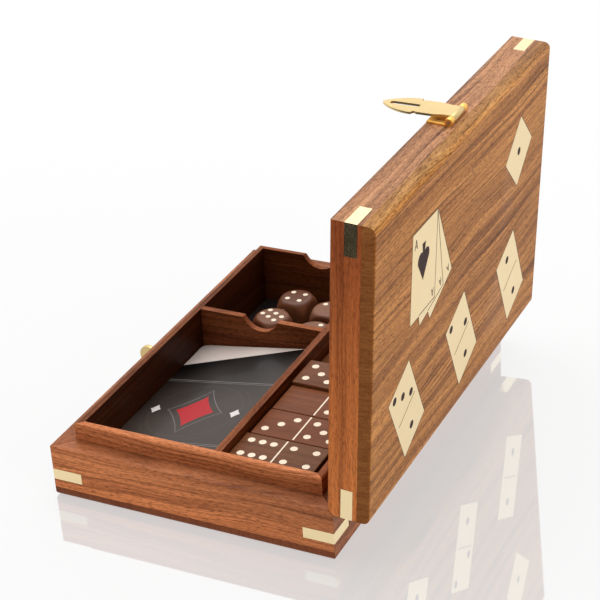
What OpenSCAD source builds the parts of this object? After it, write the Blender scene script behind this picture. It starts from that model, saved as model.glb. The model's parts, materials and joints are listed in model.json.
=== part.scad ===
// Wooden games compendium: a deck of cards, five dice and a domino set in three wells,
// under a hinged lid with brass inlays and a hasp. The lid stands open, as in use.
// Origin at the centre of the underside, front at -Y, hinges at +Y, near end at +X.

/* [Box] */
// Thickness of the base's mitred walls, which is also the width of the ledge
base_wall_t = 8; // [7.5:0.1:10]
// Height of the base's walls above the bottom board
base_wall_h = 20.4; // [19:0.1:26]
// Height of the lid's walls
lid_wall_h = 12.3; // [11:0.1:16]
// Thickness of the bottom board
bottom_t = 3.8; // [3:0.1:6]
// Thickness of the lid's board
lid_board_t = 5.5; // [4.5:0.1:8]
// Round on the bottom board's lower edge
bottom_round = 1.6; // [0.8:0.1:2.4]
// Round on the long edges of the lid's board
lid_round = 3; // [1:0.1:4]
// Round on the short edges of the lid's board
lid_end_round = 0.6; // [0.3:0.1:4]

/* [Lip and dividers] */
// Thickness of the lining that stands up as a lip
lip_t = 3.2; // [2.5:0.1:4]
// Height of the lip above the ledge
lip_stand = 7.9; // [5:0.1:9]
// Round on the lip's outer top edge
lip_round = 1.2; // [0.5:0.1:2]
// Space between the lip and the closed lid's walls
lip_gap = 0.6; // [0.5:0.05:1]
// Thickness of the dividers
divider_t = 3.1; // [2.5:0.1:4]
// Radius of the finger scoops
scoop_r = 9.3; // [7:0.1:12]
// Depth of the finger scoops
scoop_depth = 6; // [3:0.1:8]
// Thickness of the velvet on the floor
velvet_t = 0.5; // [0.3:0.1:1]
// Space between the velvet and the walls of its well
velvet_gap = 0.3; // [0.1:0.1:1]

/* [Cards] */
// Width of the tuck box
deck_w = 60; // [56:0.1:66]
// Length of the tuck box
deck_l = 92; // [86:0.5:96]
// Thickness of the tuck box
deck_t = 9.5; // [8:0.1:12]
// Thickness of the tuck box's board
tuck_t = 0.5; // [0.4:0.05:0.8]
// Radius of the tuck box's corners
tuck_corner = 2.5; // [1.5:0.1:4]
// Tilt of the deck, which lies wedged across its well
deck_tilt = 9; // [0:0.5:10]
// Play of the deck across its well
deck_play = 0.65; // [0.4:0.05:2]
// Space beyond the far end of the deck
deck_far_gap = 1; // [0.5:0.1:3]
// Space before the near end of the deck, for a finger
deck_near_gap = 9.8; // [5:0.1:15]
// Number of cards
card_count = 52; // [32:1:54]
// Space around the cards in the tuck box
card_gap = 0.4; // [0.2:0.1:1]

/* [Dice] */
// Side of a die
die_a = 16; // [13:0.1:17]
// Diameter of the ball that rounds a die's corners
die_ball = 22.4; // [21:0.1:24]
// Diameter of a die's pips
die_pip_d = 2.4; // [1.6:0.1:2.8]
// Distance of a die's corner pips from the face's middle lines
die_pip_at = 3.15; // [2.6:0.05:3.5]
// How much longer the rows of a die's six are spread
six_spread = 1.4; // [1.2:0.05:1.45]
// Space between the farthest die and the far lip
dice_gap = 0.42; // [0.2:0.02:3]

/* [Dominoes] */
// Length of a domino
domino_l = 38.6; // [36:0.1:42]
// Width of a domino
domino_w = 19.7; // [18:0.1:21]
// Thickness of a domino
domino_t = 6.1; // [5.5:0.1:6.5]
// Radius of a domino's upright corners
domino_corner = 0.7; // [0.3:0.1:1.5]
// Space between neighbouring dominoes
domino_gap = 0.4; // [0.3:0.05:1]
// Columns of dominoes along the well
domino_columns = 8; // [8:1:9]
// Full layers of dominoes
domino_layers = 3; // [3:1:3]
// Column, counted from the near end, that was cut from thicker wood
thick_column = 3; // [0:1:3]
// Extra thickness of that column's dominoes
thick_extra = 0.35; // [0:0.05:0.4]
// Space between the near lip and the first domino, and at least left at the far lip
domino_near_gap = 1.8; // [0.5:0.1:4]
// Space between the long divider and the dominoes
domino_side_gap = 0.6; // [0.4:0.1:1]
// Space between the dominoes and the back lip, for a fingernail
domino_back_gap = 3.9; // [2.5:0.1:6]
// Diameter of a domino's pips
domino_pip_d = 3.2; // [2.2:0.1:3.6]
// Distance of a domino's corner pips from the half's middle lines
domino_pip_at = 5.1; // [4:0.1:6]
// Width of a domino's dividing line
domino_line_w = 0.7; // [0.4:0.1:1.2]
// Depth of pips and lines
pip_depth = 0.8; // [0.4:0.1:1.2]

/* [Brass corner keys] */
// Length of a key's leg
key_leg = 13.7; // [9:0.1:18]
// Height of a key
key_h = 5; // [3:0.1:7]
// Thickness of a key
key_t = 1.2; // [0.8:0.1:2]
// Height of the middle of the base's keys above the underside
base_key_z = 10.4; // [9:0.1:14]
// Height of the middle of the lid's keys above the rim
lid_key_z = 8; // [5:0.1:9]

/* [Hinges] */
// Angle at which the open lid rests against the base
open_angle = 93.5; // [90:0.5:100]
// Depth of the chamfers on the back rims, where the lid comes to rest
chamfer = 2.2; // [1.9:0.1:2.6]
// Space between the chamfers when the lid rests
stop_gap = 0.05; // [0.02:0.01:0.2]
// Length of a hinge
hinge_l = 22; // [16:0.5:30]
// Distance of a hinge's middle from the end of the box
hinge_inset = 38; // [28:0.5:60]
// Thickness of a hinge's leaf
hinge_t = 0.9; // [0.6:0.05:1.2]
// Radius of a hinge's knuckle
knuckle_r = 1.8; // [1.5:0.05:2]
// Radius of a hinge's pin
hinge_pin_r = 0.7; // [0.5:0.05:0.9]
// Length of a hinge's middle knuckle
middle_knuckle = 8.5; // [6:0.1:12]

/* [Hasp] */
// Place of the hasp along the box
hasp_x = -4; // [-30:0.5:30]
// Height of the hasp's pin above the lid's rim
hasp_pin_z = 9.4; // [8:0.1:10.5]
// Width of the hasp's plate
hasp_plate_w = 17.4; // [14:0.1:24]
// Thickness of the hasp's plate
hasp_plate_t = 0.8; // [0.5:0.05:1]
// Radius of the hasp's knuckle
hasp_knuckle_r = 1.7; // [1.5:0.05:2]
// Radius of the hasp's pin
hasp_pin_r = 0.8; // [0.6:0.05:0.9]
// Thickness of the swinging leaf
hasp_leaf_t = 1; // [0.7:0.05:1.1]
// Length of the swinging leaf from its pin to the point of its arch
hasp_leaf_l = 31.6; // [30:0.1:36]
// Width of the leaf where it leaves the knuckle
hasp_root_w = 10.2; // [8:0.1:12]
// Length of the leaf's narrow root
hasp_root_l = 3.4; // [2.5:0.1:5]
// Length of the slope from the root to the full width
hasp_slope_l = 4.6; // [3:0.1:6]
// Width of the leaf before its neck
hasp_body_w = 12.2; // [11:0.1:13.4]
// Width of the leaf's head at its shoulders
hasp_head_w = 14.2; // [12.6:0.1:16]
// Distance of the shoulders past the inner end of the slot
shoulder_past = 1.4; // [0.8:0.1:3]
// Radius of the leaf's tip
hasp_tip_r = 1.2; // [0.8:0.1:2]
// Radius of the notches at the leaf's neck
neck_r = 1; // [0.5:0.1:1.5]
// Width of the slot
slot_w = 2.6; // [2.5:0.1:4]
// Length of the slot
slot_l = 13; // [12:0.1:15]
// Angle by which the resting leaf leans towards the wood
leaf_lean = 3; // [2:0.5:3]

/* [Catch] */
// Depth of the turning catch below the base's rim
catch_drop = 12.2; // [11:0.1:13.5]
// Width of the catch's plate
catch_plate_w = 12; // [9:0.1:16]
// Height of the catch's plate
catch_plate_h = 10; // [8:0.1:12]
// Thickness of the catch's plate
catch_plate_t = 0.8; // [0.5:0.05:0.9]
// Radius of the catch's stem
stem_r = 1.1; // [0.8:0.05:1.1]
// Length of the catch's wing
wing_l = 9; // [7:0.1:11]
// Thickness of the catch's wing
wing_t = 2; // [1.4:0.1:2.2]
// Distance of the wing's inner edge from the front wall
wing_from = 5.5; // [4:0.1:7]
// Depth of the wing, away from the front wall
wing_depth = 8.4; // [4:0.1:10]

/* [Inlays] */
// Thickness of the brass inlays
inlay_t = 0.8; // [0.5:0.1:1.5]
// Glue line around an inlay
inlay_gap = 0.12; // [0.05:0.01:0.3]
// Depth of the dark filler in the brass
fill_depth = 0.3; // [0.15:0.05:0.4]
// Width of the engraved lines
engraved_w = 0.4; // [0.25:0.05:0.6]
// Width of an inlaid playing card
card_w = 25.2; // [20:0.1:28]
// Length of an inlaid playing card
card_l = 39.2; // [34:0.1:42]
// Turn of each inlaid card from the one before
fan_step = 13.5; // [8:0.5:15]
// Distance of the fan's pivot from the middle of the lid, along the box
fan_x = 33.9; // [30:0.1:36]
// Distance of the fan's pivot from the middle of the lid, towards the front
fan_front = 44.6; // [43:0.1:48]
// Width of an inlaid domino
tile_w = 22.2; // [18:0.1:24]
// Length of an inlaid domino
tile_l = 39.5; // [34:0.1:41]
// Turn of the inlaid dominoes
tile_turn = 28.3; // [20:0.1:35]
// Spacing of the inlaid dominoes along the box
tile_pitch = 59.5; // [56:0.1:62]
// Distance of the inlaid dominoes from the middle of the lid, towards the hinges
tile_back = 32.2; // [31:0.1:34]
// Side of the inlaid die
dice_tile = 23.2; // [18:0.1:26]
// Distance of the inlaid die from the middle of the lid, along the box
dice_tile_x = 60.8; // [56:0.1:64]
// Distance of the inlaid die from the middle of the lid, towards the front
dice_tile_front = 28; // [27:0.1:32]
// Diameter of the pips on the inlays
tile_pip_d = 3.6; // [2.4:0.1:4.4]

/* [Fits] */
// Radial clearance of turning pins
pin_clear = 0.05; // [0.03:0.01:0.1]
// Side clearance of turning knuckles
knuckle_gap = 0.15; // [0.1:0.05:0.3]
// Clearance of cut-outs around knuckles and leaves
cut_clear = 0.2; // [0.15:0.05:0.4]
// Space between loose pieces and what they lie on
rest_gap = 0.02; // [0.01:0.01:0.05]
// Space between the shut lid's rim and the base's
rim_gap = 0.04; // [0.02:0.01:0.2]
// Radius of a nail's head
nail_head_r = 0.85; // [0.7:0.05:1]
// Radius of a nail's shank
nail_r = 0.45; // [0.3:0.05:0.6]
// Length of a nail
nail_l = 4.5; // [3:0.1:6]

/* [Hidden] */
$fn = 48;

// Dice: distance from the cross divider and from the long divider, counted in sides of a die,
// turn, and the number that lies uppermost
dice_places = [[1.363, 2.35, 62, 6], [2.635, 2.163, -3, 4], [2.294, 0.937, 90, 2],
  [1.05, 0.863, 19, 2], [3.33, 0.525, 0, 5]];
dice_well_l = (dice_places[4][0] + 0.5) * die_a + dice_gap;

// The wells take their sizes from what they hold, and the box from its wells
deck_span = deck_w * cos(deck_tilt) + deck_t * sin(deck_tilt);
card_well_w = deck_span + deck_play;
card_well_l = deck_far_gap + deck_l + deck_near_gap;
domino_well_w = domino_side_gap + domino_l + domino_back_gap;
domino_run = domino_columns * (domino_w + domino_gap) - domino_gap;
well_l = max(card_well_l + divider_t + dice_well_l, domino_run + 2 * domino_near_gap);
well_w = card_well_w + divider_t + domino_well_w;
box_l = well_l + 2 * (lip_t + base_wall_t);
box_w = well_w + 2 * (lip_t + base_wall_t);
lid_wall_t = base_wall_t - lip_gap;
base_h = bottom_t + base_wall_h;
lid_h = lid_wall_h + lid_board_t;
lip_top = base_h + lip_stand;
floor_z = bottom_t + velvet_t;
near_x = well_l / 2;
front_y = -well_w / 2;
long_y = front_y + card_well_w;
domino_y = long_y + divider_t;
cross_x = near_x - card_well_l;
scoop_y = front_y + card_well_w / 2;

// Hinges: the axis lies on the rim, at the inner edge of the chamfer
hinge_y = box_w / 2 - chamfer;
hinge_leaf_w = lid_wall_t - chamfer - cut_clear;
hinge_places = [-1, 1] * (box_l / 2 - hinge_inset);
hinge_nail_at = (knuckle_r + cut_clear + hinge_leaf_w) / 2;
leaf_sink = 0.05;

// Hasp and catch: the slot's middle meets the catch's stem when the lid is shut
front_face = -box_w / 2;
hasp_y = front_face - hasp_knuckle_r;
slot_at = hasp_pin_z + catch_drop;
catch_z = base_h - catch_drop;
hasp_knuckle_l = (hasp_plate_w - hasp_root_w) / 2 - knuckle_gap;
head_from = slot_at - slot_l / 2 + shoulder_past;
flange_r = 2;
flange_t = 0.8;

// Dominoes: the four that lie on top, and how much of the gap behind them each has been pushed
top_faces = [[6, 4], [3, 5], [0, 4], [5, 2]];
top_nudge = [0, 0.31, 0.33, 0.26] * domino_back_gap;
lower_faces = [for (a = [0:6]) for (b = [a:6]) if (len([for (f = top_faces)
  if ((f[0] == a && f[1] == b) || (f[0] == b && f[1] == a)) 1]) == 0) [a, b]];
half_at = domino_l / 4;
slack = 0.01;
// How far a cut runs past the faces that it opens
over = 1;

function domino_x(column) = near_x - domino_near_gap - domino_w / 2 - column * (domino_w + domino_gap);
function layer_t(column) = domino_t + (column == thick_column ? thick_extra : 0);
function layer_z(column, layer) = floor_z + rest_gap + layer * (layer_t(column) + rest_gap);

// Places of n pips, with their corner pips at a distance d
function pips(n, d) = concat(
  n % 2 == 1 ? [[0, 0]] : [],
  n > 1 ? [[d, -d], [-d, d]] : [],
  n > 3 ? [[d, d], [-d, -d]] : [],
  n == 6 ? [[0, d], [0, -d]] : []);

// The boards
module edge_profile(w, h, r) {
  translate([-w / 2, 0]) square([w, h - r]);
  translate([r - w / 2, 0]) square([w - 2 * r, h]);
  for (side = [-1, 1]) translate([side * (w / 2 - r), h - r]) circle(r);
}

module rounded_slab(l, w, h, r, end_r) {
  intersection() {
    rotate([90, 0, 0]) translate([0, 0, -w / 2]) linear_extrude(w) edge_profile(l, h, end_r);
    rotate([90, 0, 90]) translate([0, 0, -l / 2]) linear_extrude(l) edge_profile(w, h, r);
  }
}

// A mitred side of a frame, for the side at -Y or for the end at +X
module long_side(l, w, t, h) {
  linear_extrude(h)
    polygon([[-l / 2, -w / 2], [l / 2, -w / 2], [l / 2 - t, t - w / 2], [t - l / 2, t - w / 2]]);
}

module short_side(l, w, t, h) {
  linear_extrude(h)
    polygon([[l / 2, -w / 2], [l / 2, w / 2], [l / 2 - t, w / 2 - t], [l / 2 - t, t - w / 2]]);
}

// The four corner keys of a frame, or their slots, which run past the faces
module corner_keys(z, past = 0) {
  translate([0, 0, z - key_h / 2]) linear_extrude(key_h)
    for (sx = [-1, 1]) for (sy = [-1, 1])
      scale([sx, sy]) translate([box_l / 2, box_w / 2]) difference() {
        translate([-key_leg, -key_leg]) square(key_leg + past);
        translate([-key_leg - slack, -key_leg - slack]) square(key_leg + slack - key_t);
      }
}

// The chamfer on the back rim, cut down from the rim in the base and up in the lid
module chamfer_cut(down) {
  steep = down * tan(open_angle / 2);
  from = hinge_y - stop_gap;
  rotate([90, 0, 90]) translate([0, 0, -box_l / 2 - over]) linear_extrude(box_l + 2 * over)
    polygon([[from - over, base_h + steep], [box_w / 2 + over, base_h + steep],
      [box_w / 2 + over, base_h - steep * (box_w / 2 + over - from)]]);
}

// Cut-outs that take the hinges' knuckles and one leaf, below the rim or above it
module hinge_cut(down) {
  for (x = hinge_places) translate([x, hinge_y, base_h]) {
    rotate([0, 90, 0]) cylinder(r = knuckle_r + cut_clear, h = hinge_l + 2 * cut_clear, center = true);
    deep = hinge_t + leaf_sink;
    translate([-hinge_l / 2, -hinge_leaf_w, down > 0 ? -deep : -over])
      cube([hinge_l, hinge_leaf_w, deep + over]);
  }
}

module opened() {
  translate([0, hinge_y, base_h]) rotate([-open_angle, 0, 0]) translate([0, -hinge_y, -base_h])
    children();
}

// Base
module base_wall_cuts() {
  corner_keys(base_key_z, over);
  chamfer_cut(1);
  hinge_cut(1);
  nail_row(hinge_places, 1);
}

module base_front_wall() color("#a8622f") difference() {
  translate([0, 0, bottom_t]) long_side(box_l, box_w, base_wall_t, base_wall_h);
  corner_keys(base_key_z, over);
  catch_bore();
}

module base_back_wall() color("#a8622f") difference() {
  translate([0, 0, bottom_t]) mirror([0, 1, 0]) long_side(box_l, box_w, base_wall_t, base_wall_h);
  base_wall_cuts();
}

module base_near_end() color("#9c5a2b") difference() {
  translate([0, 0, bottom_t]) short_side(box_l, box_w, base_wall_t, base_wall_h);
  corner_keys(base_key_z, over);
  chamfer_cut(1);
}

module base_far_end() color("#9c5a2b") mirror([1, 0, 0]) base_near_end();

module bottom_board() color("#7d4524") translate([0, 0, bottom_t]) mirror([0, 0, 1])
  rounded_slab(box_l, box_w, bottom_t, bottom_round, bottom_round);

module base_corner_keys() color("#e6cf93") corner_keys(base_key_z);

// Lining and dividers
module lip_frame() difference() {
  lining_l = well_l + 2 * lip_t;
  lining_w = well_w + 2 * lip_t;
  translate([0, 0, bottom_t]) rounded_slab(lining_l, lining_w, lip_top - bottom_t, lip_round, lip_round);
  translate([-well_l / 2, -well_w / 2, bottom_t - over]) cube([well_l, well_w, lip_top]);
}

module lip_side(end) intersection() {
  lip_frame();
  lining_l = well_l + 2 * lip_t;
  lining_w = well_w + 2 * lip_t;
  if (end) short_side(lining_l, lining_w, lip_t, lip_top);
  else long_side(lining_l, lining_w, lip_t, lip_top);
}

// A finger scoop, cut down from the top of a board that stands across X
module scoop(x, t) {
  translate([x - over, scoop_y, lip_top + scoop_r - scoop_depth]) rotate([0, 90, 0])
    cylinder(r = scoop_r, h = t + 2 * over);
}

module lip_front() color("#955628") lip_side(false);

module lip_back() color("#955628") mirror([0, 1, 0]) lip_side(false);

module lip_near() color("#8f5229") lip_side(true);

module lip_far() color("#8f5229") difference() {
  mirror([1, 0, 0]) lip_side(true);
  scoop(-near_x - lip_t, lip_t);
}

module long_divider() color("#8a4a26") translate([-near_x, long_y, bottom_t])
  cube([well_l, divider_t, lip_top - bottom_t]);

module cross_divider() color("#8a4a26") difference() {
  translate([cross_x - divider_t, front_y, bottom_t])
    cube([divider_t, card_well_w, lip_top - bottom_t]);
  scoop(cross_x - divider_t, divider_t);
}

module velvet_pad(x0, x1, y0, y1) {
  translate([x0 + velvet_gap, y0 + velvet_gap, bottom_t])
    cube([x1 - x0 - 2 * velvet_gap, y1 - y0 - 2 * velvet_gap, velvet_t]);
}

module floor_velvet() color("#1d1512") {
  velvet_pad(cross_x, near_x, front_y, long_y);
  velvet_pad(-near_x, cross_x - divider_t, front_y, long_y);
  velvet_pad(-near_x, near_x, domino_y, -front_y);
}

// Hinges
module nail(grow = 0) {
  translate([0, 0, -nail_l]) cylinder(r = nail_r, h = nail_l);
  translate([0, 0, -0.4]) cylinder(r1 = nail_r, r2 = nail_head_r, h = 0.4);
}

module nail_row(places, down) {
  for (x = places) for (side = [-1, 1])
    translate([x + side * hinge_l * 0.36, hinge_y - hinge_nail_at, base_h - down * leaf_sink])
      mirror([0, 0, down > 0 ? 0 : 1]) nail();
}

module knuckle(r, l) rotate([0, 90, 0]) cylinder(r = r, h = l, center = true);

// One leaf of a hinge; the base's leaves carry the outer knuckles, the lid's the middle one
module hinge_leaf(down) difference() {
  outer_l = (hinge_l - middle_knuckle) / 2 - knuckle_gap;
  union() {
    translate([-hinge_l / 2, -hinge_leaf_w, down > 0 ? -hinge_t - leaf_sink : leaf_sink])
      cube([hinge_l, hinge_leaf_w, hinge_t]);
    if (down > 0)
      for (side = [-1, 1]) translate([side * (hinge_l - outer_l) / 2, 0, 0]) knuckle(knuckle_r, outer_l);
    else knuckle(knuckle_r, middle_knuckle);
  }
  if (down > 0) knuckle(knuckle_r + cut_clear, middle_knuckle + 2 * knuckle_gap);
  else for (side = [-1, 1]) translate([side * (hinge_l - outer_l) / 2, 0, 0])
    knuckle(knuckle_r + cut_clear, outer_l + 2 * knuckle_gap);
  knuckle(hinge_pin_r + (down > 0 ? 0 : pin_clear), hinge_l + 1);
}

module base_hinge_leaves() color("#d8b457") difference() {
  for (x = hinge_places) translate([x, hinge_y, base_h]) hinge_leaf(1);
  nail_row(hinge_places, 1);
}

module lid_hinge_leaves() color("#d8b457") opened() difference() {
  for (x = hinge_places) translate([x, hinge_y, base_h]) hinge_leaf(-1);
  nail_row(hinge_places, -1);
}

module hinge_pins() color("#a8a49a")
  for (x = hinge_places) translate([x, hinge_y, base_h]) knuckle(hinge_pin_r, hinge_l);

module base_hinge_nails() color("#caa64c") nail_row(hinge_places, 1);

module lid_hinge_nails() color("#caa64c") opened() nail_row(hinge_places, -1);

// Lid, drawn shut and turned open
module lid_wall_cuts() {
  corner_keys(base_h + lid_key_z, over);
  chamfer_cut(-1);
  hinge_cut(-1);
  nail_row(hinge_places, -1);
}

module lid_front_wall() color("#b06a34") opened() difference() {
  translate([0, 0, base_h + rim_gap]) long_side(box_l, box_w, lid_wall_t, lid_wall_h - rim_gap);
  corner_keys(base_h + lid_key_z, over);
  hasp_nail_row();
}

module lid_back_wall() color("#b06a34") opened() difference() {
  translate([0, 0, base_h + rim_gap]) mirror([0, 1, 0])
    long_side(box_l, box_w, lid_wall_t, lid_wall_h - rim_gap);
  lid_wall_cuts();
}

module shut_lid_end() difference() {
  translate([0, 0, base_h + rim_gap]) short_side(box_l, box_w, lid_wall_t, lid_wall_h - rim_gap);
  corner_keys(base_h + lid_key_z, over);
  chamfer_cut(-1);
}

module lid_near_end() color("#a45f2e") opened() shut_lid_end();

module lid_far_end() color("#a45f2e") opened() mirror([1, 0, 0]) shut_lid_end();

module lid_board() color("#b5713c") opened() difference() {
  translate([0, 0, base_h + lid_wall_h]) rounded_slab(box_l, box_w, lid_board_t, lid_round, lid_end_round);
  inlay_slab(inlay_t) {
    card_fan(inlay_gap);
    for (i = [-1:1]) tile_place(i) tile(inlay_gap);
    dice_tile_place() dice_square(inlay_gap);
  }
}

module lid_corner_keys() color("#e6cf93") opened() corner_keys(base_h + lid_key_z);

// Inlays: flat shapes let into the lid's face
module inlay_slab(deep) translate([0, 0, base_h + lid_h - deep]) linear_extrude(deep + slack) children();

module filled_slab(deep, shift) translate([0, 0, base_h + lid_h - deep]) linear_extrude(deep) children();

module card_place(i) translate([fan_x, -fan_front]) rotate(i * fan_step) children();

module card_fan(grow) {
  for (i = [0:2]) card_place(i) translate([-grow, -grow]) square([card_w + 2 * grow, card_l + 2 * grow]);
}

module tile_place(i) translate([i * tile_pitch, tile_back]) rotate(tile_turn) children();

module tile(grow) square([tile_w + 2 * grow, tile_l + 2 * grow], center = true);

module dice_tile_place() translate([-dice_tile_x, -dice_tile_front]) rotate(45) children();

module dice_square(grow) square(dice_tile + 2 * grow, center = true);

// Engraved line along the two edges of card i, where it lies over the next card
module card_edge(i) {
  intersection() {
    card_place(i) {
      translate([0, -slack]) square([engraved_w, card_l]);
      translate([0, card_l - engraved_w]) square([card_w, engraved_w]);
    }
    card_place(i + 1) translate([engraved_w / 2, engraved_w / 2])
      square([card_w - engraved_w, card_l - engraved_w]);
  }
}

// A spade that fits a square of the given width, its point towards +Y
module spade(w) {
  r = 0.27 * w;
  for (side = [-1, 1]) translate([side * (w / 2 - r), 0]) circle(r);
  polygon([[-w / 2 + 0.12 * r, r * 0.45], [0, 0.86 * w], [w / 2 - 0.12 * r, r * 0.45], [0, -0.35 * r]]);
  polygon([[-0.04 * w, 0.1 * w], [-0.15 * w, -0.56 * w], [0.15 * w, -0.56 * w], [0.04 * w, 0.1 * w]]);
}

// The letter that marks an ace, a few strokes high
module ace_mark(h) {
  stroke = 0.13 * h;
  for (side = [-1, 1]) polygon([[side * 0.34 * h, 0], [side * (0.34 * h - stroke), 0],
    [-side * stroke / 2, h], [side * stroke / 2, h]]);
  translate([-0.24 * h, 0.28 * h]) square([0.48 * h, stroke * 0.8]);
}

// Dark filling of the card fan: its edges, the spade, and the ace marks in the corners
module card_fill() {
  card_edge(0);
  difference() {
    card_edge(1);
    card_place(0) square([card_w, card_l]);
  }
  card_place(0) translate([card_w * 0.54, card_l * 0.37]) spade(card_w * 0.46);
  card_place(0) translate([card_w * 0.86, card_l * 0.19]) rotate(180) ace_mark(card_w * 0.17);
  for (i = [0:2]) card_place(i) translate([card_w * 0.11, card_l * 0.86]) ace_mark(card_w * 0.14);
}

// Dark filling of an inlaid domino: its line, a pips towards the front and one towards the back
module tile_fill(a) {
  single_at = tile_l * 0.3;
  square([tile_w * 0.78, engraved_w], center = true);
  for (p = pips(a, tile_w * 0.28)) translate([p[0], p[1] - (a == 1 ? single_at : tile_l / 4)])
    circle(d = tile_pip_d);
  translate([0, single_at]) circle(d = tile_pip_d);
}

module all_fill() {
  card_fill();
  tile_place(1) tile_fill(3);
  tile_place(0) tile_fill(2);
  tile_place(-1) tile_fill(1);
  dice_tile_place() circle(d = tile_pip_d);
}

module engraved() difference() {
  filled_slab(inlay_t) children();
  inlay_slab(fill_depth) all_fill();
}

module inlay_cards() color("#ecdcae") opened() engraved() card_fan(0);

module inlay_domino(i) color("#ecdcae") opened() engraved() tile_place(i) tile(0);

module inlay_die() color("#ecdcae") opened() engraved() dice_tile_place() dice_square(0);

module inlay_fill() color("#3a2a22") opened() filled_slab(fill_depth) all_fill();

// Hasp, drawn on the shut lid
module hasp_nail_row() {
  for (side = [-1, 1])
    translate([hasp_x + side * hasp_plate_w * 0.27, front_face - hasp_plate_t, base_h + hasp_pin_z * 0.42])
      rotate([90, 0, 0]) nail();
}

module hasp_plate() color("#d6ad4b") opened() difference() {
  translate([hasp_x, 0, base_h]) union() {
    translate([-hasp_plate_w / 2, front_face - hasp_plate_t, 0.2])
      cube([hasp_plate_w, hasp_plate_t, hasp_pin_z]);
    for (side = [-1, 1]) translate([side * (hasp_plate_w - hasp_knuckle_l) / 2, hasp_y, hasp_pin_z])
      knuckle(hasp_knuckle_r, hasp_knuckle_l);
  }
  translate([hasp_x, hasp_y, base_h + hasp_pin_z]) {
    knuckle(hasp_pin_r, hasp_plate_w + 1);
    knuckle(hasp_knuckle_r + cut_clear, hasp_root_w + 2 * knuckle_gap);
  }
  hasp_nail_row();
}

module hasp_nails() color("#caa64c") opened() hasp_nail_row();

module hasp_pin() color("#9a968c") opened()
  translate([hasp_x, hasp_y, base_h + hasp_pin_z]) knuckle(hasp_pin_r, hasp_plate_w);

// The leaf's outline, from its pin at the origin towards +Y: its head is a pointed arch
module leaf_outline() {
  arch_r = (pow(hasp_leaf_l - head_from, 2) + pow(hasp_head_w / 2, 2)) / hasp_head_w;
  arch_x = arch_r - hasp_head_w / 2;
  tip_y = head_from + sqrt(pow(arch_r - hasp_tip_r, 2) - pow(arch_x, 2));
  meet_y = tip_y + hasp_tip_r * (tip_y - head_from) / (arch_r - hasp_tip_r);
  slope_y = hasp_root_l + hasp_slope_l;
  difference() {
    union() {
      polygon([[-hasp_root_w / 2, 0], [hasp_root_w / 2, 0], [hasp_root_w / 2, hasp_root_l],
        [hasp_body_w / 2, slope_y], [hasp_body_w / 2, head_from + 1], [-hasp_body_w / 2, head_from + 1],
        [-hasp_body_w / 2, slope_y], [-hasp_root_w / 2, hasp_root_l]]);
      intersection() {
        translate([arch_x, head_from]) circle(arch_r, $fn = 96);
        translate([-arch_x, head_from]) circle(arch_r, $fn = 96);
        translate([-hasp_head_w, head_from]) square([2 * hasp_head_w, meet_y - head_from]);
      }
      translate([0, tip_y]) circle(hasp_tip_r + 0.03);
    }
    for (side = [-1, 1])
      translate([side * (hasp_body_w / 2 + neck_r * 0.5), head_from - neck_r * 0.8]) circle(neck_r);
    translate([0, slot_at]) for (side = [-1, 1])
      translate([0, side * (slot_l - slot_w) / 2]) circle(d = slot_w);
    translate([-slot_w / 2, slot_at - (slot_l - slot_w) / 2]) square([slot_w, slot_l - slot_w]);
  }
}

module hasp_leaf() color("#efd99a") opened()
  translate([hasp_x, hasp_y, base_h + hasp_pin_z]) rotate([leaf_lean, 0, 0]) difference() {
    union() {
      rotate([-90, 0, 0]) translate([0, 0, -hasp_knuckle_r]) linear_extrude(hasp_leaf_t) leaf_outline();
      knuckle(hasp_knuckle_r, hasp_root_w);
    }
    knuckle(hasp_pin_r + pin_clear, hasp_root_w + 1);
  }

// Catch on the base's front wall
module catch_place() translate([hasp_x, front_face, catch_z]) rotate([90, 0, 0]) children();

module catch_bore() catch_place() {
  translate([0, 0, -nail_l]) cylinder(r = stem_r + pin_clear, h = nail_l + 1);
  translate([0, 0, -flange_t - pin_clear]) cylinder(r = flange_r + pin_clear, h = flange_t + 1);
  catch_nail_row();
}

module catch_nail_row() {
  for (side = [-1, 1]) translate([side * catch_plate_w * 0.36, 0, catch_plate_t]) nail();
}

module catch_plate() color("#d6ad4b") catch_place() difference() {
  translate([-catch_plate_w / 2, -catch_plate_h / 2, 0])
    cube([catch_plate_w, catch_plate_h, catch_plate_t]);
  translate([0, 0, -1]) cylinder(r = stem_r + pin_clear, h = catch_plate_t + 2);
  catch_nail_row();
}

module catch_nails() color("#caa64c") catch_place() catch_nail_row();

// The catch turns in the wall: a round wing on a stem, held behind the plate by a flange.
// The open box's wing stands upright, so that the hasp's slot slips over it
module catch_knob() color("#e3c77c") catch_place() {
  translate([0, 0, pin_clear - nail_l]) cylinder(r = stem_r, h = nail_l + wing_from);
  translate([0, 0, -flange_t]) cylinder(r = flange_r, h = flange_t - pin_clear);
  translate([0, 0, wing_from + wing_depth / 2]) rotate([0, 90, 0]) rotate(90)
    linear_extrude(wing_t, center = true) wing_outline();
}

module wing_outline() {
  end_r = wing_depth / 2;
  square([abs(wing_l - wing_depth), wing_depth], center = true);
  intersection() {
    for (side = [-1, 1]) translate([side * (wing_l / 2 - end_r), 0]) circle(end_r);
    square([wing_l, wing_depth], center = true);
  }
}

// Cards: the deck lies wedged across its well, its front edge on the velvet
module deck_place() translate([cross_x + deck_far_gap + deck_l / 2,
    front_y + deck_play / 2 + deck_t * sin(deck_tilt), floor_z + rest_gap])
  rotate([deck_tilt, 0, 0]) translate([0, deck_w / 2, 0]) children();

module round_plate(l, w, h, r) linear_extrude(h) {
  square([l - 2 * r, w], center = true);
  square([l, w - 2 * r], center = true);
  for (sx = [-1, 1]) for (sy = [-1, 1]) translate([sx * (l / 2 - r), sy * (w / 2 - r)]) circle(r);
}

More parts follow.
